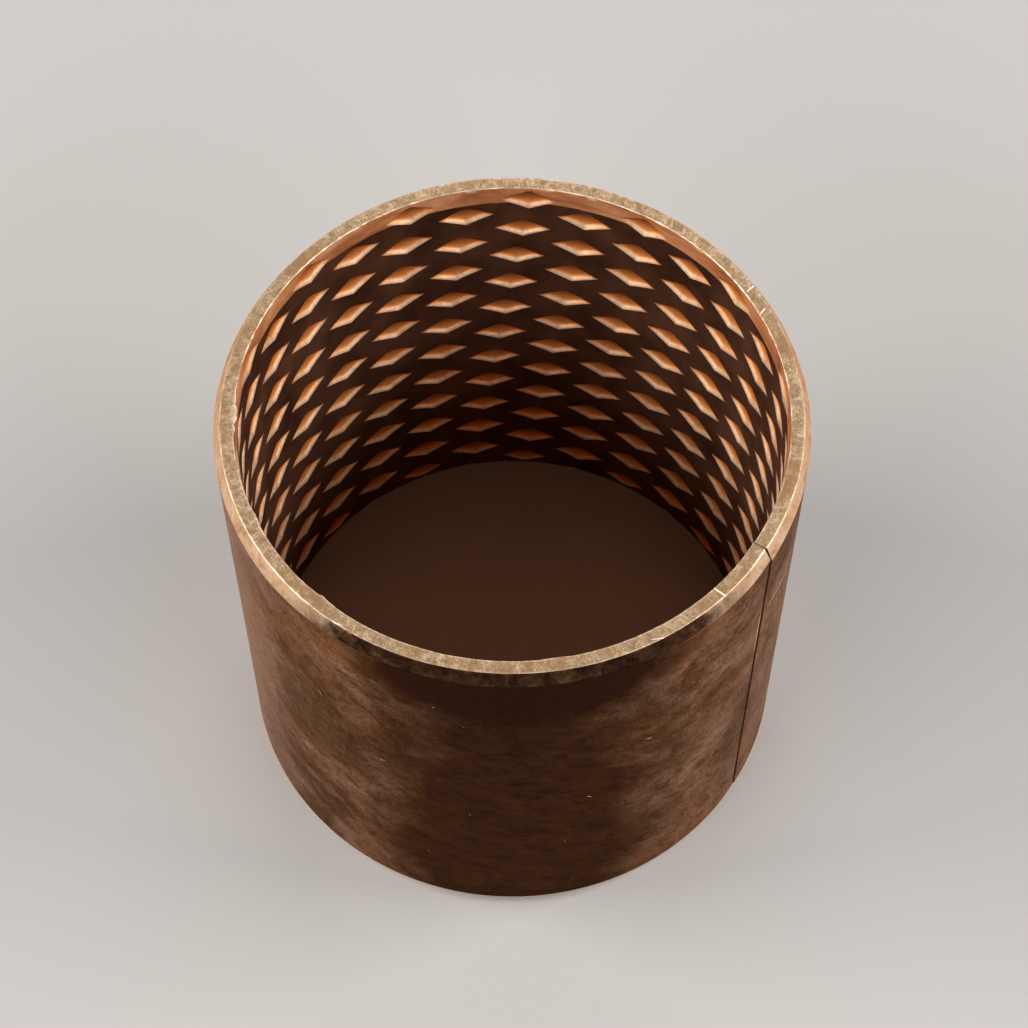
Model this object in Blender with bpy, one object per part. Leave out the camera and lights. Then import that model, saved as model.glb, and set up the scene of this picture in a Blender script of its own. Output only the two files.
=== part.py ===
"""Wrapped bronze sleeve bushing with rhombic grease pockets in its bore.

One strip of tin bronze is embossed flat with pockets, rolled into a ring that closes at a
straight butt seam, and chamfered at both ends. The origin is the centre of the lower end
face, the bore runs along +Z, and the seam is on the +X side.
"""

import math

import bmesh
import bpy
from mathutils import Matrix, Vector

MM = 0.001

# Ring: standard 60 x 65 x 60 size
BORE_RADIUS = 30.0 * MM
OUTER_RADIUS = 32.5 * MM
LENGTH = 60.0 * MM
OUTER_CHAMFER_DEPTH = 0.8 * MM
OUTER_CHAMFER_HEIGHT = 1.55 * MM
INNER_CHAMFER_DEPTH = 0.23 * MM
INNER_CHAMFER_HEIGHT = 2.25 * MM
RING_STEPS = 72

# Butt seam: one gap through the wall at +X, along the whole length
SEAM_GAP = 0.18 * MM

# Grease pockets: shallow pyramids in leaning columns, every other column half a row lower
POCKET_WIDTH = 6.6 * MM
POCKET_HEIGHT = 3.3 * MM
POCKET_DEPTH = 0.45 * MM
POCKET_OVERCUT = 0.05 * MM
COLUMN_PITCH = 6.93 * MM
COLUMN_LEAN = math.atan(0.69 / 5.36)
ROW_PITCH = 5.36 * MM
ROWS = 11
FIRST_ROW_Z = 1.84 * MM
GUIDE_COLUMN_ANGLE = math.radians(125.8)

BRONZE_COLOUR = (0.46, 0.31, 0.19, 1.0)
BRONZE_ROUGHNESS = 0.32


def clear_scene():
    """Remove whatever the file opened with."""
    for leftover in list(bpy.data.objects):
        bpy.data.objects.remove(leftover, do_unlink=True)


def make_collection(name):
    """Add a collection to the scene."""
    collection = bpy.data.collections.new(name)
    bpy.context.scene.collection.children.link(collection)
    return collection


def bronze_material():
    """Worn tin bronze."""
    material = bpy.data.materials.new("tin_bronze")
    material.use_nodes = True
    shader = material.node_tree.nodes["Principled BSDF"]
    shader.inputs["Base Color"].default_value = BRONZE_COLOUR
    shader.inputs["Roughness"].default_value = BRONZE_ROUGHNESS
    shader.inputs["Metallic"].default_value = 1.0
    return material


def add_object(name, mesh, collection):
    """Put a mesh into the scene as an object."""
    piece = bpy.data.objects.new(name, mesh)
    collection.objects.link(piece)
    return piece


def wall_profile():
    """Radius and height of the wall section's corners, round from the bore's foot."""
    top = LENGTH
    return [
        (BORE_RADIUS, INNER_CHAMFER_HEIGHT),
        (BORE_RADIUS + INNER_CHAMFER_DEPTH, 0.0),
        (OUTER_RADIUS - OUTER_CHAMFER_DEPTH, 0.0),
        (OUTER_RADIUS, OUTER_CHAMFER_HEIGHT),
        (OUTER_RADIUS, top - OUTER_CHAMFER_HEIGHT),
        (OUTER_RADIUS - OUTER_CHAMFER_DEPTH, top),
        (BORE_RADIUS + INNER_CHAMFER_DEPTH, top),
        (BORE_RADIUS, top - INNER_CHAMFER_HEIGHT),
    ]


def rolled_strip_mesh():
    """Sweep the wall section round the bore axis, from one side of the seam to the other."""
    half_gap_angle = 0.5 * SEAM_GAP / OUTER_RADIUS
    start = Matrix.Rotation(half_gap_angle, 3, "Z")
    sweep = bmesh.new()
    corners = [sweep.verts.new(start @ Vector((radius, 0.0, height))) for radius, height in wall_profile()]
    section = sweep.faces.new(corners)
    bmesh.ops.spin(
        sweep,
        geom=[section, *section.edges, *section.verts],
        cent=(0.0, 0.0, 0.0),
        axis=(0.0, 0.0, 1.0),
        angle=math.tau - 2.0 * half_gap_angle,
        steps=RING_STEPS,
        use_merge=False,
    )
    bmesh.ops.recalc_face_normals(sweep, faces=sweep.faces)
    mesh = bpy.data.meshes.new("wrapped_sleeve")
    sweep.to_mesh(mesh)
    sweep.free()
    return mesh


def pocket_places():
    """Angle and height of every pocket centre that touches the strip, round from the seam."""
    column_angle = COLUMN_PITCH / BORE_RADIUS
    half_width = 0.5 * POCKET_WIDTH / BORE_RADIUS
    columns_each_way = math.ceil(math.tau / column_angle)
    for column in range(-columns_each_way, columns_each_way + 1):
        first_z = FIRST_ROW_Z + 0.5 * ROW_PITCH * ((column + 1) % 2)
        for row in range(ROWS):
            height = first_z + row * ROW_PITCH
            lean = math.tan(COLUMN_LEAN) * (height - 0.5 * LENGTH) / BORE_RADIUS
            angle = GUIDE_COLUMN_ANGLE + column * column_angle - lean
            if -half_width < angle < math.tau + half_width:
                yield angle, height


def add_pocket(cutter, angle, height):
    """Add one pyramid with its point in the wall, ended at the seam if it reaches that far."""
    rim_drop = (0.5 * POCKET_WIDTH) ** 2 / (2.0 * BORE_RADIUS)
    depth = POCKET_DEPTH + rim_drop + POCKET_OVERCUT
    half_width = 0.5 * POCKET_WIDTH * depth / (POCKET_DEPTH + rim_drop)
    half_height = 0.5 * POCKET_HEIGHT * depth / POCKET_DEPTH
    middle = BORE_RADIUS + POCKET_DEPTH - 0.5 * depth
    outwards = Matrix(((0, 0, 1), (1, 0, 0), (0, 1, 0))).to_4x4()
    place = (
        Matrix.Rotation(angle, 4, "Z")
        @ Matrix.Translation((middle, 0.0, height))
        @ outwards
        @ Matrix.Diagonal((half_width, half_height, 1.0, 1.0))
    )
    pyramid = bmesh.ops.create_cone(
        cutter, cap_ends=True, segments=4, radius1=1.0, radius2=0.0, depth=depth, matrix=place
    )
    trim_at_seam(cutter, pyramid["verts"], angle)


def trim_at_seam(cutter, corners, angle):
    """Cut off what reaches across the middle of the seam."""
    reach = POCKET_WIDTH / BORE_RADIUS
    if reach < angle < math.tau - reach:
        return
    past_seam = (0.0, -1.0, 0.0) if angle < math.pi else (0.0, 1.0, 0.0)
    edges = {edge for corner in corners for edge in corner.link_edges}
    faces = {face for corner in corners for face in corner.link_faces}
    cut = bmesh.ops.bisect_plane(
        cutter,
        geom=[*corners, *edges, *faces],
        plane_co=(0.0, 0.0, 0.0),
        plane_no=past_seam,
        clear_outer=True,
    )
    rim = [item for item in cut["geom_cut"] if isinstance(item, bmesh.types.BMEdge)]
    if rim:
        bmesh.ops.contextual_create(cutter, geom=rim)


def pocket_cutter_mesh():
    """All the pocket pyramids in one mesh."""
    cutter = bmesh.new()
    for angle, height in pocket_places():
        add_pocket(cutter, angle, height)
    bmesh.ops.recalc_face_normals(cutter, faces=cutter.faces)
    mesh = bpy.data.meshes.new("pocket_cutter")
    cutter.to_mesh(mesh)
    cutter.free()
    return mesh


def shade_round(mesh):
    """Smooth shading that keeps the chamfers and pocket edges crisp."""
    mesh.shade_smooth()
    mesh.set_sharp_from_angle(angle=math.radians(8.0))


def build_bushing():
    """The rolled strip with its pockets cut."""
    parts = make_collection("bronze_sleeve_bushing")
    cutters = make_collection("cutters")

    sleeve_mesh = rolled_strip_mesh()
    shade_round(sleeve_mesh)
    sleeve = add_object("wrapped_sleeve", sleeve_mesh, parts)
    sleeve.data.materials.append(bronze_material())

    pockets = add_object("pocket_cutter", pocket_cutter_mesh(), cutters)
    pockets.hide_render = True
    pockets.display_type = "WIRE"

    emboss = sleeve.modifiers.new("grease_pockets", "BOOLEAN")
    emboss.operation = "DIFFERENCE"
    emboss.solver = "EXACT"
    emboss.object = pockets


clear_scene()
build_bushing()
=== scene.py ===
"""Looks of the wrapped bronze sleeve bushing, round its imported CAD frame.

The visible sleeve is one mesh with the CAD's sizes, but for a narrower seam. Its bore is a sheet of
rhombic cells with one soft pocket each, rolled round +Z and trimmed at the ends and at the butt seam
on +X. Rows of vertices carry the surface over the end faces and down the outer wall.
"""

import math

import bmesh
import bpy
import numpy as np
from mathutils import Matrix, Vector


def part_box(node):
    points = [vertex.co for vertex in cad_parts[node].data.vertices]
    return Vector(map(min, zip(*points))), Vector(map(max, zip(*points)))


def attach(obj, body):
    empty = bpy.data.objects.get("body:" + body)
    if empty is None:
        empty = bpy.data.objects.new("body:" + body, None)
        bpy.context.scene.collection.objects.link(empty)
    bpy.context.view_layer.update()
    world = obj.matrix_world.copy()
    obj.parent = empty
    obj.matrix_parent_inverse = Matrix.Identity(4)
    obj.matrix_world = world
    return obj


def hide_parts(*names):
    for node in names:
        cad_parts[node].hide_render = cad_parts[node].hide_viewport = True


MM = 0.001

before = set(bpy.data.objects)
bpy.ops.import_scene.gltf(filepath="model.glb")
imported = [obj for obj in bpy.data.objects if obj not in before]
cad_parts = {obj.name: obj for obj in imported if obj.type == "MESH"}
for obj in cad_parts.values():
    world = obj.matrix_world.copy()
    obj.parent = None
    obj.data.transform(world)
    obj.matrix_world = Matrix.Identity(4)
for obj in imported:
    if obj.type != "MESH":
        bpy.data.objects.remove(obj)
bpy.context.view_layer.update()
sleeve_low, sleeve_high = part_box("wrapped_sleeve")

# Ring, as in the CAD
OUTER_RADIUS = 0.5 * (sleeve_high.x - sleeve_low.x)
LENGTH = sleeve_high.z - sleeve_low.z
BORE_RADIUS = 30.0 * MM
OUTER_CHAMFER_DEPTH = 0.8 * MM
OUTER_CHAMFER_HEIGHT = 1.55 * MM
INNER_CHAMFER_DEPTH = 0.23 * MM
INNER_CHAMFER_HEIGHT = 2.25 * MM

# Pockets, as in the CAD; the guide column and row place their lattice
POCKET_WIDTH = 6.6 * MM
POCKET_HEIGHT = 3.3 * MM
POCKET_DEPTH = 0.45 * MM
COLUMN_PITCH = 6.93 * MM
COLUMN_LEAN = 0.69 / 5.36
ROW_PITCH = 5.36 * MM
GUIDE_COLUMN_ANGLE = math.radians(125.8)
GUIDE_ROW_Z = 4.52 * MM
CELLS_EACH_WAY = 30

# Grid lines across half a cell, one of them along the pocket's edge; the bank's width as a share of
# the pocket's half width; and how much of the pocket's depth is a soft hollow instead of a flat floor
HALF_CELL_LINES = (0.0, 0.20, 0.31, 0.36, 0.43, 0.5, 0.56, 1.0)
POCKET_EDGE = 0.5
POCKET_BANK = 0.38
POCKET_SOFTNESS = 0.35

# Fine shape of the ends, of the wall and of the seam, which is nearly closed
SEAM_GAP = 0.07 * MM
FACE_SINK = 0.03 * MM
EDGE_ROUND = 0.10 * MM
FULL_LUMP = 0.3 * MM
BORE_SHEET_STOP = 0.14 * MM
SEAM_STEP = 0.09 * MM
SEAM_STEP_REACH = 2.2 * MM
SEAM_ROUNDING = 0.15 * MM
SEAM_GRIME_REACH = 0.14 * MM
WALL_WAVE = 0.015 * MM
SHARP_ANGLE = math.radians(50.0)
RIM_COLUMNS = 960
WALL_COLUMNS = 240
FOOT_COLUMNS = 240
END_COLUMNS = (0.03 * MM, 0.07 * MM, 0.12 * MM, 0.17 * MM, 0.3 * MM)

# Smeared lumps on the bore's upper edge: degrees round from the seam, half width and size in millimetres
EDGE_LUMPS = (
    (212.0, 1.5, 0.36),
    (215.6, 0.8, 0.26),
    (262.0, 1.4, 0.16),
    (238.0, 0.9, 0.14),
    (311.0, 1.2, 0.08),
)

# The photograph's view, as an angle round from the seam
VIEW_TURN = math.radians(32.5)
CAMERA_PLACE = (0.19 * MM, -154.7 * MM, 304.3 * MM)
CAMERA_TILT = math.radians(30.15)
CAMERA_LENS = 93.4

# Softboxes: name, bearing, elevation, distance in metres, size in metres, watts and colour. They stay
# low enough not to shine on the floor inside the bore
WARM = (1.0, 0.93, 0.88)
WHITE = (1.0, 1.0, 1.0)
SOFTBOXES = (
    ("sidelight_left", -92.0, 40.0, 0.60, (0.30, 0.14), 4.1, WARM),
    ("sidelight_right", 92.0, 40.0, 0.60, (0.30, 0.14), 4.0, WARM),
    ("softbox_back", 175.0, 33.0, 0.95, (0.70, 0.36), 4.0, WHITE),
    ("softbox_left", -48.0, 36.0, 0.85, (0.55, 0.26), 4.9, WHITE),
    ("softbox_right", 48.0, 36.0, 0.85, (0.55, 0.26), 4.4, WHITE),
)
WORLD_COLOUR = (0.95, 0.96, 1.0, 1.0)
WORLD_STRENGTH = 0.04
FLOOR_COLOUR = (0.28, 0.275, 0.27, 1.0)
FLOOR_ROUGHNESS = 0.85
FLOOR_SIZE = 6.0

END_ANGLE = 0.5 * SEAM_GAP / OUTER_RADIUS
STRIP_START = END_ANGLE
STRIP_END = math.tau - END_ANGLE

LAND, POCKET, BORE_CHAMFER, END_FACE, RIM_CHAMFER, WALL, SEAM = range(7)

# Single scratches on the unrolled strip, and one painted highlight beside the seam in WALL_MARKS: degrees
# round from the seam, way round the wall's section from the bore's edge, degrees turned from level, half
# length and half width, lengths in millimetres
FACE_MARKS = (
    (346.8, 1.1, 82.0, 1.3, 0.10),
    (343.0, 2.4, 60.0, 0.5, 0.06),
    (331.0, 1.5, 20.0, 0.9, 0.05),
    (258.0, 1.9, 8.0, 1.6, 0.08),
    (267.0, 1.7, -12.0, 1.1, 0.07),
    (64.0, 1.2, 75.0, 0.9, 0.08),
    (58.0, 0.8, 60.0, 0.6, 0.10),
)
WALL_MARKS = (
    (6.0, 16.5, 3.0, 2.7, 0.17),
    (14.0, 10.0, 12.0, 1.5, 0.12),
    # Painted highlight: a bright line down the seam's edge, not a scratch
    (359.35, 20.0, 90.0, 6.0, 0.09),
    (255.5, 39.8, 35.0, 0.8, 0.08),
    (224.0, 17.0, 55.0, 1.6, 0.09),
    (229.0, 26.0, 62.0, 1.2, 0.08),
    (262.0, 21.0, 55.0, 0.6, 0.05),
    (330.0, 24.0, 25.0, 0.5, 0.06),
    (318.0, 34.0, 40.0, 0.4, 0.05),
    (276.0, 29.0, -10.0, 0.5, 0.05),
)


def ripple(angle, seed, slowest, fastest):
    """Smooth repeatable noise round the ring, from about -1 to 1."""
    draw = np.random.default_rng(seed)
    turns = draw.uniform(slowest, fastest, 12)
    phases = draw.uniform(0.0, math.tau, 12)
    angles = np.asarray(angle, float)[..., None]
    return np.sin(turns * angles + phases).sum(-1) / 3.5


def bore_chamfer_height(angle):
    """Height of the bore's chamfer, which wanders a little round the ring."""
    return INNER_CHAMFER_HEIGHT * (1.0 + 0.10 * np.cos(angle - 2.4) + 0.04 * ripple(angle, 3, 2, 11))


# ---------------------------------------------------------------- bore sheet


def pocket_depth(a, b):
    """Depth inside a pocket; a and b run from -1 to 1 across its two pairs of sides."""
    if abs(a) >= 1.0 or abs(b) >= 1.0:
        return 0.0
    bank = min(1.0, (1.0 - max(abs(a), abs(b))) / POCKET_BANK)
    pillow = (1.0 - a * a) * (1.0 - b * b)
    return POCKET_DEPTH * (POCKET_SOFTNESS * pillow + (1.0 - POCKET_SOFTNESS) * bank)


def pocket_painted_shading(a, b):
    """Painted shading across a pocket: 0, the darkest painted shade, at its top corner, 0.5 in the middle
    of its floor, 1, the brightest painted highlight, at its lowest corner.
    """
    lower = max(0.0, 1.0 - min(1.0 + a, 1.0 - b) / POCKET_BANK)
    upper = max(0.0, 1.0 - min(1.0 - a, 1.0 + b) / POCKET_BANK)
    return 0.5 + 0.11 * (b - a) + 0.28 * (min(lower, 1.0) - min(upper, 1.0))


def cell_sides():
    """Half the two steps from a pocket to its neighbours, as arc and height."""
    lean = 0.5 * ROW_PITCH * COLUMN_LEAN
    up = Vector((0.5 * (COLUMN_PITCH - lean), 0.25 * ROW_PITCH))
    down = Vector((0.5 * (COLUMN_PITCH + lean), -0.25 * ROW_PITCH))
    return up, down


def cell_point(u, v):
    """Arc, height, depth and painted-shading value of a grid point of a cell; u and v run from -1 to 1."""
    up, down = cell_sides()
    reach = max(abs(u), abs(v))
    pocket_scale = 1.0 if reach <= POCKET_EDGE else POCKET_EDGE / reach
    a = u * pocket_scale / POCKET_EDGE
    b = v * pocket_scale / POCKET_EDGE
    inner = Vector((0.25 * POCKET_WIDTH * (a + b), 0.25 * POCKET_HEIGHT * (a - b)))
    if reach <= POCKET_EDGE:
        return inner.x, inner.y, pocket_depth(a, b), pocket_painted_shading(a, b)
    outer = (u * up + v * down) / reach
    place = inner.lerp(outer, (reach - POCKET_EDGE) / (1.0 - POCKET_EDGE))
    return place.x, place.y, 0.0, pocket_painted_shading(a, b)


def flat_bore_sheet():
    """The bore's surface before rolling: X is arc, Y is depth into the wall, Z is height."""
    up, down = cell_sides()
    lines = sorted({side * line for line in HALF_CELL_LINES for side in (-1.0, 1.0)})
    steps = len(lines) - 1
    tile = [[cell_point(u, v) for v in lines] for u in lines]
    guide_arc = GUIDE_COLUMN_ANGLE * BORE_RADIUS + COLUMN_LEAN * (0.5 * LENGTH - GUIDE_ROW_Z)
    sheet = bmesh.new()
    # The shade layer holds each point's painted shading for the pocket colours
    sheet.verts.layers.float.new("shade")
    corners = {}
    reach = range(-CELLS_EACH_WAY, CELLS_EACH_WAY + 1)
    for i in reach:
        for j in reach:
            arc = guide_arc + 2.0 * (i * up.x + j * down.x)
            height = GUIDE_ROW_Z + 2.0 * (i * up.y + j * down.y)
            if not -COLUMN_PITCH < arc < math.tau * BORE_RADIUS + COLUMN_PITCH:
                continue
            if not -ROW_PITCH < height < LENGTH + ROW_PITCH:
                continue
            add_cell(sheet, corners, tile, steps, (i, j), (arc, height))
    return sheet


def add_cell(sheet, corners, tile, steps, index, centre):
    """One cell of the sheet, sharing its border points with its neighbours."""
    shades = sheet.verts.layers.float["shade"]

    def corner(row, column):
        key = (index[0] * steps + row, index[1] * steps + column)
        if key not in corners:
            x, z, depth, shade = tile[row][column]
            corners[key] = sheet.verts.new((centre[0] + x, depth, centre[1] + z))
            corners[key][shades] = shade
        return corners[key]

    pocket_steps = HALF_CELL_LINES.index(POCKET_EDGE)
    for row in range(steps):
        for column in range(steps):
            near = (corner(row, column), corner(row, column + 1))
            far = (corner(row + 1, column + 1), corner(row + 1, column))
            quad = sheet.faces.new((*near, *far))
            middle_u = abs(row + 0.5 - 0.5 * steps)
            middle_v = abs(column + 0.5 - 0.5 * steps)
            in_pocket = max(middle_u, middle_v) < pocket_steps
            quad.material_index = POCKET if in_pocket else LAND


def cut_sheet(sheet, point, normal, keep_both=False):
    """Trim the sheet past a plane, or only lay an edge along it."""
    everything = [*sheet.verts, *sheet.edges, *sheet.faces]
    bmesh.ops.bisect_plane(
        sheet, geom=everything, dist=1e-8, plane_co=point, plane_no=normal, clear_outer=not keep_both
    )


def shift_heights(sheet, sign, from_top):
    """Warp the sheet so that the wandering chamfer edge becomes a straight line, or back."""
    for vert in sheet.verts:
        wander = float(bore_chamfer_height(vert.co.x / BORE_RADIUS)) - INNER_CHAMFER_HEIGHT
        vert.co.z += sign * (wander if from_top else -wander)


def trimmed_bore_sheet():
    """The flat sheet with an edge along each chamfer, cut to the strip's outline."""
    sheet = flat_bore_sheet()
    for from_top in (True, False):
        chamfer_z = LENGTH - INNER_CHAMFER_HEIGHT if from_top else INNER_CHAMFER_HEIGHT
        shift_heights(sheet, 1.0, from_top)
        cut_sheet(sheet, (0.0, 0.0, chamfer_z), (0.0, 0.0, 1.0), keep_both=True)
        shift_heights(sheet, -1.0, from_top)
    cut_sheet(sheet, (0.0, 0.0, 0.0), (0.0, 0.0, -1.0))
    cut_sheet(sheet, (0.0, 0.0, LENGTH - BORE_SHEET_STOP), (0.0, 0.0, 1.0))
    cut_sheet(sheet, (STRIP_START * BORE_RADIUS, 0.0, 0.0), (-1.0, 0.0, 0.0))
    cut_sheet(sheet, (STRIP_END * BORE_RADIUS, 0.0, 0.0), (1.0, 0.0, 0.0))
    return sheet


def chamfered_bore_radius(angle, height):
    """Radius of the bore's land and of the two chamfers that lead into it."""
    chamfer = float(bore_chamfer_height(angle))
    into_end = max(height - (LENGTH - chamfer), chamfer - height, 0.0)
    return BORE_RADIUS + INNER_CHAMFER_DEPTH * into_end / chamfer


def roll_sheet(sheet, layers):
    """Roll the flat sheet round the axis and carve its chamfers; the lower one looks like the land."""
    for face in sheet.faces:
        middle = face.calc_center_median()
        chamfered = chamfered_bore_radius(middle.x / BORE_RADIUS, middle.z) - BORE_RADIUS
        if chamfered > middle.y and chamfered > 1e-7:
            face.material_index = BORE_CHAMFER if middle.z > 0.5 * LENGTH else LAND
    for vert in sheet.verts:
        arc, depth, height = vert.co
        angle = arc / BORE_RADIUS
        radius = max(BORE_RADIUS + depth, chamfered_bore_radius(angle, height))
        vert[layers["place"]] = (angle * OUTER_RADIUS, height, 0.0)
        vert.co = (radius * math.cos(angle), radius * math.sin(angle), height)


# ---------------------------------------------------------------- ends and outer wall


def edge_round(angle, seed):
    """Radius of the small uneven rounding that handling leaves along an edge."""
    return EDGE_ROUND * float(np.clip(0.75 + 0.35 * ripple(angle, seed, 20, 170), 0.35, 1.4))


def edge_lumps(angle):
    """How far the bore's edge is pushed into the bore by a few smeared lumps."""
    reach = 0.0
    for place, width, size in EDGE_LUMPS:
        away = (angle - math.radians(place)) * BORE_RADIUS / (width * MM)
        reach += size * MM * math.exp(-away * away)
    return reach * float(np.clip(1.0 + 0.35 * ripple(angle, 23, 60, 170), 0.3, 1.5))


def chamfer_foot(angle):
    """How far down the outer wall the chamfer reaches; it ends lower on the seam's raised side."""
    beside_seam = math.exp(-((angle / 0.10) ** 2))
    slow = 0.045 * float(ripple(angle, 7, 1, 9))
    ragged = 0.012 * float(ripple(angle, 17, 40, 140))
    return OUTER_CHAMFER_HEIGHT * (1.0 + slow + ragged + 0.25 * beside_seam)


def seam_sink(angle):
    """The strip's far end lies a little lower than its near end where they meet."""
    behind_seam = (math.tau - angle) * OUTER_RADIUS
    return SEAM_STEP * math.exp(-((behind_seam / SEAM_STEP_REACH) ** 2))


def end_rounding(angle):
    """How far the surface falls away over the strip's rounded ends, at the seam."""
    from_end = min(angle - STRIP_START, STRIP_END - angle) * OUTER_RADIUS
    short = max(0.0, SEAM_ROUNDING - from_end)
    return SEAM_ROUNDING - math.sqrt(SEAM_ROUNDING**2 - min(short, SEAM_ROUNDING) ** 2)


def seam_grime(angle):
    """How dirty the surface is beside the seam, in metres, so that it stays small in texture space."""
    from_end = min(angle - STRIP_START, STRIP_END - angle) * OUTER_RADIUS
    return MM * max(0.0, 1.0 - from_end / SEAM_GRIME_REACH)


def top_profile(angle):
    """Radius, height and edge brightness of the points from the bore's edge over the rim to the wall; the
    edge brightness is partly wear and partly a painted glint.
    """
    face_inner = BORE_RADIUS + INNER_CHAMFER_DEPTH
    face_outer = OUTER_RADIUS - OUTER_CHAMFER_DEPTH
    width = face_outer - face_inner
    rounding = end_rounding(angle)
    level = LENGTH - FACE_SINK - 0.35 * rounding
    inner = edge_round(angle, 11)
    outer = 0.7 * edge_round(angle, 12)
    lump = edge_lumps(angle)
    smear = min(1.0, lump / FULL_LUMP)
    points = [
        (face_inner - lump, level - inner + smear * inner, 1.0),
        (face_inner + 0.3 * inner - lump, level - 0.25 * inner + smear * (0.25 * inner + FACE_SINK), 1.0),
        (face_inner + inner - 0.5 * lump, level + smear * FACE_SINK, max(0.35, 0.6 * smear)),
        (face_inner + 0.2 * width, level + 0.5 * smear * FACE_SINK, 0.3 * smear),
        (face_inner + 0.45 * width, level, 0.0),
        (face_inner + 0.75 * width, level, 0.0),
        (face_outer - outer, level, 0.3),
        (face_outer - 0.25 * outer, level - 0.25 * outer, 0.7),
    ]
    foot = chamfer_foot(angle)
    for share, wear_and_glint in ((0.07, 0.5), (0.2, 0.0), (0.4, 0.0), (0.7, 0.0), (0.93, 0.15), (1.0, 0.8)):
        points.append((face_outer + share * OUTER_CHAMFER_DEPTH, level - share * foot, wear_and_glint))
    points.append((OUTER_RADIUS, level - foot - 0.12 * MM, 0.1))
    points.append((OUTER_RADIUS, level - foot - 0.4 * MM, 0.0))
    sink = seam_sink(angle) + rounding
    sunk = [(radius - sink, height, wear_and_glint) for radius, height, wear_and_glint in points[1:]]
    return [points[0], *sunk]


# The zone that ends at each row of top_profile
TOP_ZONES = [END_FACE] * 8 + [RIM_CHAMFER] * 6 + [WALL] * 2


def foot_profile(angle):
    """The same for the points from the outer wall under the foot to the bore's edge."""
    face_inner = BORE_RADIUS + INNER_CHAMFER_DEPTH
    face_outer = OUTER_RADIUS - OUTER_CHAMFER_DEPTH
    foot = OUTER_CHAMFER_HEIGHT
    points = [(OUTER_RADIUS, foot + 0.4 * MM, 0.0), (OUTER_RADIUS, foot + 0.1 * MM, 0.2)]
    for share, wear_and_glint in ((0.0, 0.8), (0.1, 0.2), (0.5, 0.0), (0.9, 0.2), (1.0, 0.8)):
        points.append((OUTER_RADIUS - share * OUTER_CHAMFER_DEPTH, foot * (1.0 - share), wear_and_glint))
    for share, wear_and_glint in ((0.06, 0.3), (0.5, 0.0), (0.94, 0.3)):
        points.append((face_outer - share * (face_outer - face_inner), 0.0, wear_and_glint))
    sink = seam_sink(angle) + end_rounding(angle)
    return [(radius - sink, height, wear_and_glint) for radius, height, wear_and_glint in points]


# The zone that ends at each row of foot_profile
FOOT_ZONES = [WALL] * 2 + [RIM_CHAMFER] * 5 + [END_FACE] * 3


def wall_profile(angle):
    """The same for the points down the outer wall."""
    top = LENGTH - OUTER_CHAMFER_HEIGHT - 1.6 * MM
    bottom = OUTER_CHAMFER_HEIGHT + 1.2 * MM
    rounding = end_rounding(angle)
    sink = seam_sink(angle) + rounding
    # Brightness at the seam's rounded ends, partly wear and partly a painted glint
    edge_wear_and_glint = 0.5 * rounding / SEAM_ROUNDING
    points = []
    for share in np.linspace(0.0, 1.0, 33):
        height = top + share * (bottom - top)
        waviness = WALL_WAVE * (1.0 + math.sin(3.0 * angle + 90.0 * height) * math.cos(5.0 * angle))
        points.append((OUTER_RADIUS - waviness - sink, height, edge_wear_and_glint))
    return points


def strip_angles(columns):
    """Angles of the columns round the strip, with extra ones at its two rounded ends."""
    even = np.linspace(STRIP_START, STRIP_END, columns + 1)
    extra = np.array(END_COLUMNS) / OUTER_RADIUS
    return np.unique(np.concatenate([even, STRIP_START + extra, STRIP_END - extra]))


def section_travel(radius, height):
    """Way round the wall's section from the bore's upper edge, over the rim, down and under the foot."""
    under_foot = 2.0 * (OUTER_RADIUS - radius) if height < 0.5 * LENGTH else 0.0
    return radius - BORE_RADIUS + LENGTH - height + under_foot


def band_rows(mesh, layers, columns, profile):
    """Rows of vertices round the ring, one for each point of a profile."""
    rows = []
    for angle in strip_angles(columns):
        for number, (radius, height, wear_and_glint) in enumerate(profile(angle)):
            if len(rows) <= number:
                rows.append([])
            travel = section_travel(radius, height)
            vert = mesh.verts.new((radius * math.cos(angle), radius * math.sin(angle), height))
            vert[layers["place"]] = (angle * OUTER_RADIUS, travel, seam_grime(angle))
            vert[layers["wear_and_glint"]] = wear_and_glint
            rows[number].append(vert)
    return rows


def stitch(mesh, places, first, second, zone):
    """Fill between two rows that run the same way, whatever their spacing."""
    a = b = 0
    while a < len(first) - 1 or b < len(second) - 1:
        next_first = first[a + 1][places].x if a < len(first) - 1 else math.inf
        next_second = second[b + 1][places].x if b < len(second) - 1 else math.inf
        if abs(next_first - next_second) < 1e-7:
            corners = (first[a], second[b], second[b + 1], first[a + 1])
            a += 1
            b += 1
        elif next_first < next_second:
            corners = (first[a], second[b], first[a + 1])
            a += 1
        else:
            corners = (first[a], second[b], second[b + 1])
            b += 1
        mesh.faces.new(corners).material_index = zone


def stitch_band(mesh, places, rows, zones):
    """Fill between the rows of one band."""
    for number in range(len(rows) - 1):
        stitch(mesh, places, rows[number], rows[number + 1], zones[number + 1])


def end_row(verts, places, height):
    """The bore's border vertices at one end, in order round the ring."""
    border = [vert for vert in verts if abs(vert[places].y - height) < 1e-7]
    return sorted(border, key=lambda vert: vert[places].x)


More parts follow.
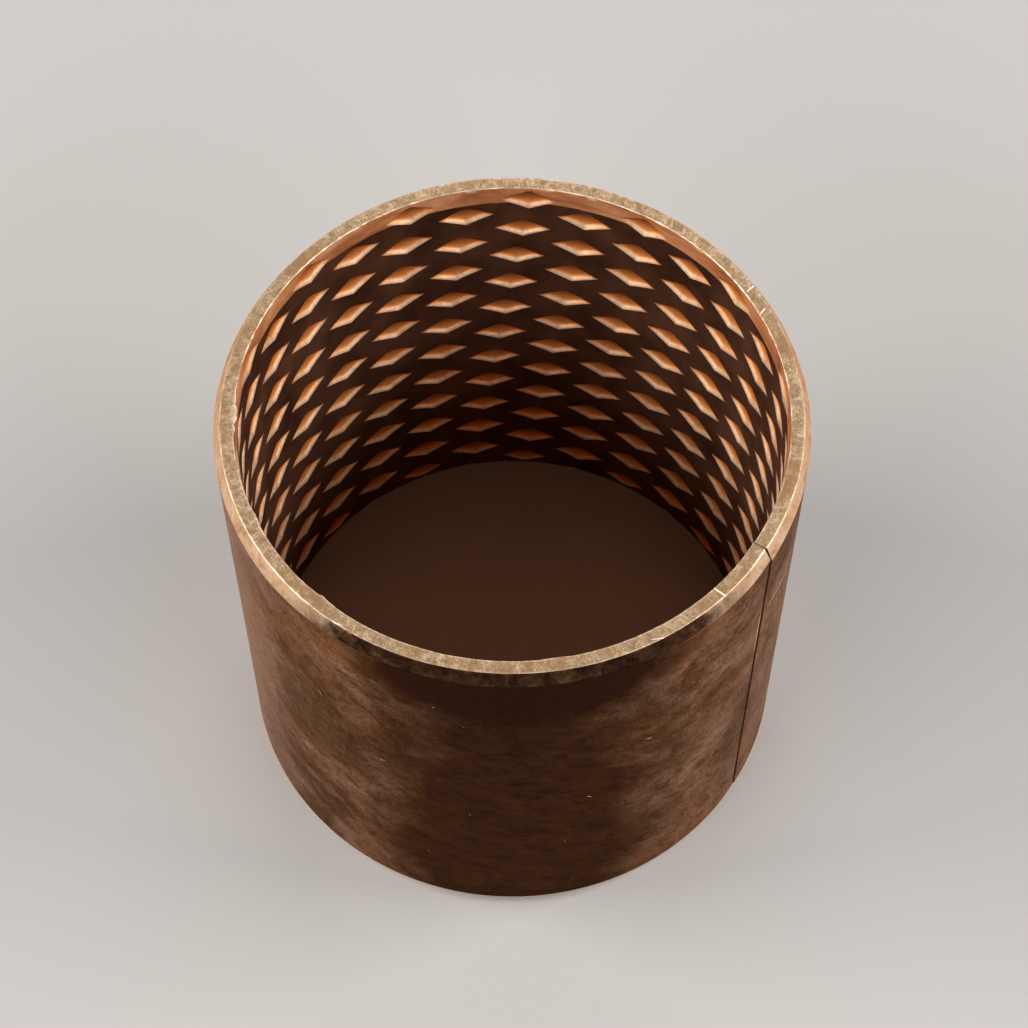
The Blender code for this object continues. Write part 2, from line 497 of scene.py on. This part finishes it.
def build_sleeve_mesh():
    """The whole surface of the rolled strip."""
    mesh = trimmed_bore_sheet()
    places = mesh.verts.layers.float_vector.new("place")
    layers = {"place": places, "wear_and_glint": mesh.verts.layers.float.new("wear_and_glint")}
    roll_sheet(mesh, layers)
    bore_verts = list(mesh.verts)
    bore_top = end_row(bore_verts, places, LENGTH - BORE_SHEET_STOP)
    bore_foot = end_row(bore_verts, places, 0.0)
    top = band_rows(mesh, layers, RIM_COLUMNS, top_profile)
    wall = band_rows(mesh, layers, WALL_COLUMNS, wall_profile)
    foot = band_rows(mesh, layers, FOOT_COLUMNS, foot_profile)
    stitch(mesh, places, bore_top, top[0], BORE_CHAMFER)
    stitch_band(mesh, places, top, TOP_ZONES)
    stitch(mesh, places, top[-1], wall[0], WALL)
    stitch_band(mesh, places, wall, [WALL] * len(wall))
    stitch(mesh, places, wall[-1], foot[0], WALL)
    stitch_band(mesh, places, foot, FOOT_ZONES)
    stitch(mesh, places, bore_foot, foot[-1], END_FACE)
    open_edges = [edge for edge in mesh.edges if edge.is_boundary]
    seam_faces = bmesh.ops.holes_fill(mesh, edges=open_edges, sides=0)["faces"]
    for face in seam_faces:
        face.material_index = SEAM
    bmesh.ops.triangulate(mesh, faces=seam_faces)
    bmesh.ops.recalc_face_normals(mesh, faces=mesh.faces)
    return mesh


# ---------------------------------------------------------------- materials


def new_material(name):
    """A node material with only its Principled shader and output."""
    material = bpy.data.materials.new(name)
    material.use_nodes = True
    return material, material.node_tree, material.node_tree.nodes["Principled BSDF"]


def add_node(tree, kind, links=None, **values):
    """Add a shader node; links maps input names to sockets, values sets properties or inputs."""
    node = tree.nodes.new(kind)
    for name, value in values.items():
        if hasattr(node, name):
            setattr(node, name, value)
        else:
            node.inputs[name.replace("_", " ")].default_value = value
    for name, socket in (links or {}).items():
        tree.links.new(socket, node.inputs[name])
    return node


def place_coordinates(tree, scale, turn=0.0):
    """Coordinates on the unrolled strip, in metres, turned in its plane and then stretched."""
    place = add_node(tree, "ShaderNodeAttribute", attribute_name="place").outputs["Vector"]
    if turn:
        place = add_node(tree, "ShaderNodeVectorRotate", {"Vector": place}, Angle=turn).outputs["Vector"]
    mapping = add_node(tree, "ShaderNodeMapping", {"Vector": place})
    mapping.inputs["Scale"].default_value = scale
    return mapping.outputs["Vector"]


def object_coordinates(tree):
    """Coordinates in the row frame, in metres."""
    return add_node(tree, "ShaderNodeTexCoord").outputs["Object"]


def worn_edge_and_glint(tree):
    """Bright edge wear, partly a painted glint, along the mesh's marked edges, broken up round the ring;
    from 0 to 1.
    """
    wear_and_glint = add_node(tree, "ShaderNodeAttribute", attribute_name="wear_and_glint").outputs["Fac"]
    broken = ramp(tree, noise(tree, object_coordinates(tree), 330.0, 5.0, 0.65), (0.42, 0.08), (0.64, 0.85))
    return times(tree, ramp(tree, wear_and_glint, (0.15, 0.0), (0.85, 1.0)), broken)


def seam_dirt(tree):
    """Dirt along the seam, from 0 to 1."""
    place = add_node(tree, "ShaderNodeAttribute", attribute_name="place")
    split = add_node(tree, "ShaderNodeSeparateXYZ", {"Vector": place.outputs["Vector"]})
    share = times(tree, split.outputs["Z"], 1.0 / MM)
    return ramp(tree, share, (0.1, 0.0), (0.5, 1.0))


def noise(tree, vector, scale, detail=4.0, roughness=0.55, distortion=0.0):
    """A noise texture's value."""
    node = add_node(tree, "ShaderNodeTexNoise", {"Vector": vector})
    node.inputs["Scale"].default_value = scale
    node.inputs["Detail"].default_value = detail
    node.inputs["Roughness"].default_value = roughness
    node.inputs["Distortion"].default_value = distortion
    return node.outputs["Fac"]


def specks(tree, vector, scale, size):
    """Small round specks scattered at random: 1 inside a speck, 0 outside."""
    cells = add_node(tree, "ShaderNodeTexVoronoi", {"Vector": vector})
    cells.inputs["Scale"].default_value = scale
    cells.inputs["Randomness"].default_value = 1.0
    return ramp(tree, cells.outputs["Distance"], (0.0, 1.0), (size, 0.0))


def ramp(tree, fac, *stops):
    """A colour ramp; each stop is a position and a colour or a grey value."""
    node = add_node(tree, "ShaderNodeValToRGB", {"Fac": fac})
    elements = node.color_ramp.elements
    while len(elements) < len(stops):
        elements.new(0.5)
    for element, (position, colour) in zip(elements, stops):
        element.position = position
        shade = (colour,) * 3 if isinstance(colour, (int, float)) else colour
        element.color = (*shade, 1.0)
    return node.outputs["Color"]


def mix(tree, fac, first, second):
    """Mix two colours; each is a socket or a fixed colour."""
    node = tree.nodes.new("ShaderNodeMix")
    node.data_type = "RGBA"
    pairs = (("Factor_Float", fac), ("A_Color", first), ("B_Color", second))
    for identifier, value in pairs:
        socket = next(item for item in node.inputs if item.identifier == identifier)
        if isinstance(value, bpy.types.NodeSocket):
            tree.links.new(value, socket)
        elif isinstance(value, tuple):
            socket.default_value = (*value, 1.0)
        else:
            socket.default_value = value
    return next(item for item in node.outputs if item.identifier == "Result_Color")


def times(tree, first, second):
    """The product of two values."""
    node = add_node(tree, "ShaderNodeMath", operation="MULTIPLY")
    for socket, value in zip(node.inputs, (first, second)):
        if isinstance(value, bpy.types.NodeSocket):
            tree.links.new(value, socket)
        else:
            socket.default_value = value
    return node.outputs["Value"]


def bump(tree, height, depth_mm, below=None):
    """A bump normal whose full height is depth_mm millimetres."""
    links = {"Height": height}
    if below:
        links["Normal"] = below
    node = add_node(tree, "ShaderNodeBump", links)
    node.inputs["Strength"].default_value = 1.0
    node.inputs["Distance"].default_value = depth_mm * MM
    return node.outputs["Normal"]


def finish_material(tree, shader, colour, roughness, normal, metallic=1.0, edge_tint=None):
    """Connect the finished sockets to the shader; edge_tint is the metal's colour at grazing angles."""
    tree.links.new(colour, shader.inputs["Base Color"])
    tree.links.new(roughness, shader.inputs["Roughness"])
    tree.links.new(normal, shader.inputs["Normal"])
    shader.inputs["Metallic"].default_value = metallic
    if edge_tint:
        shader.inputs["Specular Tint"].default_value = (*edge_tint, 1.0)


def mark(tree, angle, travel, turn, half_length, half_width):
    """One long bright line on the unrolled strip, in degrees and millimetres: 1 along its middle, 0
    outside. Most are scratches; one is a painted highlight beside the seam.
    """
    place = add_node(tree, "ShaderNodeAttribute", attribute_name="place")
    links = {"Vector": place.outputs["Vector"]}
    mapping = add_node(tree, "ShaderNodeMapping", links, vector_type="TEXTURE")
    mapping.inputs["Location"].default_value = (math.radians(angle) * OUTER_RADIUS, travel * MM, 0.0)
    mapping.inputs["Rotation"].default_value = (0.0, 0.0, math.radians(turn))
    mapping.inputs["Scale"].default_value = (half_length * MM, half_width * MM, 1.0)
    ball = add_node(tree, "ShaderNodeTexGradient", {"Vector": mapping.outputs["Vector"]})
    ball.gradient_type = "SPHERICAL"
    return ramp(tree, ball.outputs["Fac"], (0.0, 0.0), (0.35, 1.0))


def with_marks(tree, colour, marks, bright):
    """Lay bright scratches, and the one painted highlight beside the seam, over a colour."""
    for values in marks:
        colour = mix(tree, mark(tree, *values), colour, bright)
    return colour


def land_material():
    """The bore's running surface: burnished, darkly oxidised, with axial scratches."""
    material, tree, shader = new_material("bore_land_burnished")
    body = object_coordinates(tree)
    streaks = noise(tree, place_coordinates(tree, (2600.0, 60.0, 1.0)), 1.0, 5.0, 0.6)
    patches = noise(tree, body, 160.0, 4.0, 0.6)
    base = ramp(tree, patches, (0.3, (0.085, 0.037, 0.022)), (0.7, (0.20, 0.092, 0.054)))
    scratched = ramp(tree, streaks, (0.66, 0.0), (0.80, 0.5))
    colour = mix(tree, scratched, base, (0.42, 0.27, 0.18))
    rough = ramp(tree, patches, (0.25, 0.38), (0.8, 0.52))
    normal = bump(tree, streaks, 0.006)
    finish_material(tree, shader, colour, rough, normal, metallic=0.85, edge_tint=(0.7, 0.42, 0.28))
    return material


def pocket_material():
    """Embossed pockets: orange floors, with painted shade darkening their upper parts and a painted
    highlight on their lower banks.
    """
    material, tree, shader = new_material("pocket_bare_bronze")
    body = object_coordinates(tree)
    shade = add_node(tree, "ShaderNodeAttribute", attribute_name="shade").outputs["Fac"]
    grain = noise(tree, body, 1500.0, 4.0, 0.65)
    tone = noise(tree, body, 700.0, 4.0, 0.6)
    # Painted shading: the floor's colour darkens towards the pocket's top and brightens towards its bottom
    floor = ramp(
        tree,
        shade,
        (0.28, (0.15, 0.040, 0.012)),
        (0.40, (0.42, 0.125, 0.032)),
        (0.50, (0.80, 0.29, 0.075)),
        (0.60, (1.0, 0.46, 0.155)),
    )
    # Painted highlight: pale cream on the lower banks
    bank = ramp(tree, tone, (0.35, (1.0, 0.70, 0.46)), (0.65, (1.0, 0.84, 0.62)))
    base = mix(tree, ramp(tree, shade, (0.62, 0.0), (0.74, 1.0)), floor, bank)
    colour = mix(tree, ramp(tree, grain, (0.35, 0.3), (0.50, 0.0)), base, (0.46, 0.20, 0.08))
    rough = ramp(tree, shade, (0.6, 0.50), (0.75, 0.40))
    normal = bump(tree, grain, 0.016)
    finish_material(tree, shader, colour, rough, normal, metallic=0.85, edge_tint=(1.0, 0.8, 0.6))
    return material


def bore_chamfer_material():
    """Turned chamfer at the bore's upper end: warm copper tone, fine rings."""
    material, tree, shader = new_material("bore_chamfer_turned")
    rings = noise(tree, place_coordinates(tree, (40.0, 9000.0, 1.0)), 1.0, 3.0, 0.6)
    patches = noise(tree, place_coordinates(tree, (110.0, 320.0, 1.0)), 1.0, 5.0, 0.65, 0.5)
    base = ramp(
        tree,
        patches,
        (0.3, (0.36, 0.13, 0.050)),
        (0.5, (0.68, 0.29, 0.125)),
        (0.7, (0.88, 0.49, 0.28)),
    )
    # Edge brightness, partly wear and partly a painted glint
    colour = mix(tree, worn_edge_and_glint(tree), base, (1.0, 0.78, 0.56))
    rough = ramp(tree, rings, (0.3, 0.46), (0.7, 0.58))
    normal = bump(tree, rings, 0.006)
    finish_material(tree, shader, colour, rough, normal, metallic=0.75, edge_tint=(1.0, 0.8, 0.65))
    return material


def end_face_material():
    """Turned end face: olive gold with tarnish patches, fine rings and short scratches across."""
    material, tree, shader = new_material("end_face_turned")
    body = object_coordinates(tree)
    rings = noise(tree, place_coordinates(tree, (90.0, 6000.0, 1.0)), 1.0, 3.0, 0.6)
    across = noise(tree, place_coordinates(tree, (2600.0, 520.0, 1.0), 0.35), 1.0, 5.0, 0.7, 0.6)
    blotches = noise(tree, body, 800.0, 7.0, 0.78, 0.4)
    grit = noise(tree, body, 4200.0, 3.0, 0.7)
    tarnish = noise(tree, body, 110.0, 5.0, 0.68, 0.8)
    gold = ramp(
        tree,
        blotches,
        (0.34, (0.21, 0.135, 0.074)),
        (0.5, (0.39, 0.270, 0.160)),
        (0.66, (0.68, 0.51, 0.34)),
    )
    gritty = mix(tree, ramp(tree, grit, (0.36, 0.65), (0.55, 0.0)), gold, (0.17, 0.098, 0.046))
    scored = mix(tree, ramp(tree, across, (0.56, 0.0), (0.68, 0.40)), gritty, (0.95, 0.72, 0.48))
    darkened = mix(tree, ramp(tree, tarnish, (0.52, 0.0), (0.62, 0.8)), scored, (0.28, 0.150, 0.070))
    marked = with_marks(tree, darkened, FACE_MARKS, (1.0, 0.86, 0.70))
    # Edge brightness, partly wear and partly a painted glint
    worn_and_glinting = mix(tree, worn_edge_and_glint(tree), marked, (1.0, 0.86, 0.70))
    colour = mix(tree, times(tree, seam_dirt(tree), 0.4), worn_and_glinting, (0.06, 0.03, 0.018))
    rough = ramp(tree, blotches, (0.3, 0.60), (0.7, 0.46))
    normal = bump(tree, rings, 0.008, bump(tree, across, 0.010, bump(tree, blotches, 0.03)))
    finish_material(tree, shader, colour, rough, normal, metallic=0.9, edge_tint=(1.0, 0.85, 0.7))
    return material


def rim_chamfer_material():
    """Outer chamfers: pinkish gold with single scratches, and a painted shade along the camera side of the
    upper one.
    """
    material, tree, shader = new_material("rim_chamfer_turned")
    body = object_coordinates(tree)
    rings = noise(tree, place_coordinates(tree, (60.0, 6000.0, 1.0)), 1.0, 3.0, 0.6)
    blotches = noise(tree, body, 560.0, 6.0, 0.68, 0.5)
    gold = ramp(
        tree,
        blotches,
        (0.3, (0.48, 0.27, 0.15)),
        (0.5, (0.82, 0.54, 0.34)),
        (0.7, (0.98, 0.74, 0.52)),
    )
    marked = with_marks(tree, gold, FACE_MARKS, (1.0, 0.86, 0.70))
    # Edge brightness, partly wear and partly a painted glint
    worn_and_glinting = mix(tree, worn_edge_and_glint(tree), marked, (1.0, 0.85, 0.68))
    # Painted shade: dark colours laid on the upper chamfer's camera side
    rim_shade_colour = ramp(
        tree,
        blotches,
        (0.40, (0.017, 0.007, 0.004)),
        (0.56, (0.055, 0.025, 0.013)),
        (0.72, (0.13, 0.066, 0.031)),
    )
    rim_shade = rim_painted_shade(tree, body, 30.0, 6.0)
    darkened = mix(tree, rim_shade, worn_and_glinting, rim_shade_colour)
    colour = mix(tree, seam_dirt(tree), darkened, (0.03, 0.015, 0.010))
    turned_rough = ramp(tree, blotches, (0.3, 0.50), (0.7, 0.34))
    rough = mix(tree, rim_shade, turned_rough, (0.70, 0.70, 0.70))
    normal = bump(tree, rings, 0.008, bump(tree, blotches, 0.03))
    finish_material(tree, shader, colour, rough, normal, metallic=0.95, edge_tint=(0.7, 0.45, 0.3))
    return material


def ragged_place(tree, body, scale, reach_mm):
    """The body's coordinates pushed about by noise, so that blots laid with them have ragged edges."""
    push = add_node(tree, "ShaderNodeTexNoise", {"Vector": body}, Scale=scale, Detail=6.0, Roughness=0.65)
    centred = add_node(tree, "ShaderNodeVectorMath", {0: push.outputs["Color"]}, operation="SUBTRACT")
    centred.inputs[1].default_value = (0.5, 0.5, 0.5)
    pushed = add_node(
        tree, "ShaderNodeVectorMath", {0: centred.outputs["Vector"], 2: body}, operation="MULTIPLY_ADD"
    )
    pushed.inputs[1].default_value = (2.0 * reach_mm * MM,) * 3
    return pushed.outputs["Vector"]


def soft_ball(tree, body, centre, reach):
    """A soft round blot on the body: 1 at its centre, 0 at its reach along X, Y and Z."""
    mapping = add_node(tree, "ShaderNodeMapping", {"Vector": body}, vector_type="TEXTURE")
    mapping.inputs["Location"].default_value = centre
    mapping.inputs["Scale"].default_value = reach
    ball = add_node(tree, "ShaderNodeTexGradient", {"Vector": mapping.outputs["Vector"]})
    ball.gradient_type = "SPHERICAL"
    return ball.outputs["Fac"]


def rim_painted_shade(tree, body, arc_reach_mm, height_reach_mm):
    """A dark, ragged painted shade below the upper rim on the side that faces the camera, strongest at the
    chamfer's foot; it stands in for the dark reflection that side shows.
    """
    ragged = ragged_place(tree, body, 260.0, 4.0)
    centre = turned((1.0 * MM, -OUTER_RADIUS, LENGTH - OUTER_CHAMFER_HEIGHT))
    reach = (arc_reach_mm * MM, arc_reach_mm * MM, height_reach_mm * MM)
    ball = soft_ball(tree, ragged, centre, reach)
    return ramp(tree, ball, (0.04, 0.0), (0.34, 1.0))


def wall_painted_shade(tree, body):
    """A broad painted shade down the wall's side that faces the camera, standing in for the dark reflection
    seen there.
    """
    ragged = ragged_place(tree, body, 80.0, 8.0)
    centre = turned((0.8 * MM, -OUTER_RADIUS, 0.33 * LENGTH))
    ball = soft_ball(tree, ragged, centre, (22.0 * MM, 22.0 * MM, 62.0 * MM))
    return ramp(tree, ball, (0.0, 0.0), (0.50, 0.97))


def side_painted_sheen(tree, body, streaks):
    """A painted sheen: a paler, streaky band down one side of the wall."""
    centre = turned((-OUTER_RADIUS, -6.0 * MM, 0.5 * LENGTH))
    ball = soft_ball(tree, body, centre, (17.0 * MM, 17.0 * MM, 70.0 * MM))
    streaked = ramp(tree, streaks, (0.40, 0.15), (0.62, 1.0))
    return times(tree, ramp(tree, ball, (0.0, 0.0), (0.6, 0.8)), streaked)


def wall_material():
    """Rolled outer wall: mottled brown oxide with slanting streaks, scratches and nicks, a painted sheen
    down one side, and painted shade down the camera side and under the upper rim.
    """
    material, tree, shader = new_material("outer_wall_rolled")
    body = object_coordinates(tree)
    clouds = noise(tree, body, 65.0, 5.0, 0.62, 0.6)
    warmth = noise(tree, body, 75.0, 4.0, 0.6, 0.5)
    violet = noise(tree, place_coordinates(tree, (70.0, 110.0, 1.0), -0.5), 1.0, 5.0, 0.65, 0.6)
    mottle = noise(tree, body, 420.0, 6.0, 0.74, 0.5)
    bark = noise(tree, place_coordinates(tree, (260.0, 480.0, 1.0), -0.45), 1.0, 7.0, 0.76, 0.6)
    brushed = noise(tree, place_coordinates(tree, (700.0, 1500.0, 1.0), -0.2), 1.0, 6.0, 0.76, 0.5)
    upright = noise(tree, place_coordinates(tree, (3800.0, 110.0, 1.0)), 1.0, 4.0, 0.6)
    hairlines = noise(tree, place_coordinates(tree, (90.0, 5200.0, 1.0), -0.03), 1.0, 4.0, 0.6)
    grain = noise(tree, body, 4200.0, 3.0, 0.7)
    pits = noise(tree, body, 1300.0, 5.0, 0.75, 0.3)
    nicks = specks(tree, place_coordinates(tree, (620.0, 800.0, 1.0)), 1.0, 0.10)
    nick_spots = ramp(tree, noise(tree, body, 420.0, 2.0), (0.56, 0.0), (0.62, 0.8))
    dark = ramp(
        tree,
        mottle,
        (0.3, (0.055, 0.024, 0.013)),
        (0.5, (0.115, 0.054, 0.031)),
        (0.7, (0.22, 0.112, 0.070)),
    )
    light = ramp(
        tree,
        mottle,
        (0.3, (0.18, 0.090, 0.053)),
        (0.5, (0.33, 0.183, 0.118)),
        (0.7, (0.58, 0.365, 0.26)),
    )
    oxide = mix(tree, ramp(tree, clouds, (0.40, 0.0), (0.56, 0.95)), dark, light)
    lilac = mix(tree, ramp(tree, violet, (0.52, 0.0), (0.66, 0.55)), oxide, (0.46, 0.29, 0.23))
    rusty = mix(tree, ramp(tree, warmth, (0.50, 0.0), (0.66, 0.55)), lilac, (0.36, 0.155, 0.065))
    olive = mix(tree, ramp(tree, warmth, (0.32, 0.6), (0.44, 0.0)), rusty, (0.15, 0.092, 0.045))
    barked = mix(tree, ramp(tree, bark, (0.36, 0.75), (0.48, 0.0)), olive, (0.050, 0.022, 0.013))
    ridged = mix(tree, ramp(tree, bark, (0.54, 0.0), (0.70, 0.35)), barked, (0.60, 0.39, 0.28))
    brushes = mix(tree, ramp(tree, brushed, (0.56, 0.0), (0.72, 0.4)), ridged, (0.50, 0.30, 0.21))
    combed = mix(tree, ramp(tree, upright, (0.56, 0.0), (0.72, 0.35)), brushes, (0.40, 0.23, 0.155))
    pitted = mix(tree, ramp(tree, pits, (0.34, 0.6), (0.46, 0.0)), combed, (0.060, 0.026, 0.015))
    speckled = mix(tree, ramp(tree, pits, (0.58, 0.0), (0.70, 0.5)), pitted, (0.62, 0.42, 0.30))
    grained = mix(tree, ramp(tree, grain, (0.36, 0.6), (0.55, 0.0)), speckled, (0.045, 0.021, 0.013))
    # Painted sheen down one side of the wall
    sheened = mix(tree, side_painted_sheen(tree, body, brushed), grained, (0.50, 0.335, 0.26))
    # Edge brightness, partly wear and partly a painted glint
    worn_and_glinting = mix(tree, worn_edge_and_glint(tree), sheened, (0.85, 0.60, 0.44))
    # Painted shade: a broad dark band down the wall's camera side
    painted_shade_colour = ramp(tree, bark, (0.38, (0.009, 0.004, 0.002)), (0.68, (0.042, 0.020, 0.011)))
    shaded_front = mix(tree, wall_painted_shade(tree, body), worn_and_glinting, painted_shade_colour)
    # Painted shade just under the upper rim on the camera side
    darkened = mix(tree, rim_painted_shade(tree, body, 23.0, 12.0), shaded_front, (0.012, 0.005, 0.003))
    bright = mix(tree, ramp(tree, hairlines, (0.70, 0.0), (0.78, 0.3)), darkened, (0.40, 0.24, 0.15))
    nicked = mix(tree, times(tree, nicks, nick_spots), bright, (0.90, 0.68, 0.46))
    # WALL_MARKS holds the painted highlight beside the seam as well as scratches
    marked = with_marks(tree, nicked, WALL_MARKS, (1.0, 0.80, 0.64))
    colour = mix(tree, seam_dirt(tree), marked, (0.035, 0.015, 0.009))
    rough = ramp(tree, brushed, (0.3, 0.49), (0.7, 0.33))
    normal = bump(tree, grain, 0.012, bump(tree, brushed, 0.02, bump(tree, bark, 0.035)))
    finish_material(tree, shader, colour, rough, normal, metallic=0.9, edge_tint=(0.7, 0.48, 0.36))
    return material


def seam_material():
    """Sheared strip ends inside the seam: dark with grime."""
    material, tree, shader = new_material("seam_edge_sheared")
    grime = noise(tree, object_coordinates(tree), 500.0, 4.0, 0.6)
    colour = ramp(tree, grime, (0.3, (0.010, 0.007, 0.005)), (0.7, (0.045, 0.028, 0.018)))
    rough = ramp(tree, grime, (0.3, 0.6), (0.7, 0.8))
    finish_material(tree, shader, colour, rough, bump(tree, grime, 0.02))
    return material


# ---------------------------------------------------------------- scene


def build_sleeve():
    """The visible sleeve, which stands for the CAD's node."""
    surface = build_sleeve_mesh()
    mesh = bpy.data.meshes.new("bronze_sleeve")
    surface.to_mesh(mesh)
    surface.free()
    mesh.shade_smooth()
    mesh.set_sharp_from_angle(angle=SHARP_ANGLE)
    makers = (
        land_material,
        pocket_material,
        bore_chamfer_material,
        end_face_material,
        rim_chamfer_material,
        wall_material,
        seam_material,
    )
    for maker in makers:
        mesh.materials.append(maker())
    sleeve = bpy.data.objects.new("bronze_sleeve", mesh)
    bpy.context.scene.collection.objects.link(sleeve)
    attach(sleeve, "root")
    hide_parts("wrapped_sleeve")


def turned(place):
    """A place given as seen in the photograph's view, in the row frame."""
    return Matrix.Rotation(VIEW_TURN, 3, "Z") @ Vector(place)


def add_camera():
    """The photograph's viewpoint: high in front, with a long lens."""
    data = bpy.data.cameras.new("camera")
    data.sensor_width = 36.0
    data.lens = CAMERA_LENS
    data.clip_start = 0.01
    camera = bpy.data.objects.new("camera", data)
    camera.location = turned(CAMERA_PLACE)
    camera.rotation_euler = (CAMERA_TILT, 0.0, VIEW_TURN)
    bpy.context.scene.collection.objects.link(camera)
    bpy.context.scene.camera = camera


def add_softbox(name, bearing, elevation, distance, size, watts, colour):
    """A rectangular area light that faces the sleeve; bearing is 0 in front and 90 on the right."""
    turn = math.radians(bearing)
    lift = math.radians(elevation)
    level = distance * math.cos(lift)
    target = Vector((0.0, 0.0, 0.5 * LENGTH))
    data = bpy.data.lights.new(name, "AREA")
    data.shape = "RECTANGLE"
    data.size, data.size_y = size
    data.energy = watts
    data.color = colour
    lamp = bpy.data.objects.new(name, data)
    away = (level * math.sin(turn), -level * math.cos(turn), distance * math.sin(lift))
    lamp.location = target + turned(away)
    lamp.rotation_euler = (target - lamp.location).to_track_quat("-Z", "Y").to_euler()
    bpy.context.scene.collection.objects.link(lamp)


def add_floor():
    """A plain pale floor."""
    material, _, shader = new_material("floor_pale")
    shader.inputs["Base Color"].default_value = FLOOR_COLOUR
    shader.inputs["Roughness"].default_value = FLOOR_ROUGHNESS
    bpy.ops.mesh.primitive_plane_add(size=FLOOR_SIZE, location=(0.0, 0.0, 0.0))
    floor = bpy.context.active_object
    floor.name = "floor"
    floor.data.materials.append(material)


def add_world():
    """Dim even surroundings."""
    world = bpy.data.worlds.new("studio")
    world.use_nodes = True
    background = world.node_tree.nodes["Background"]
    background.inputs["Color"].default_value = WORLD_COLOUR
    background.inputs["Strength"].default_value = WORLD_STRENGTH
    bpy.context.scene.world = world


build_sleeve()
add_floor()
add_world()
add_camera()
for softbox in SOFTBOXES:
    add_softbox(*softbox)
bpy.context.scene.view_settings.view_transform = "Standard"
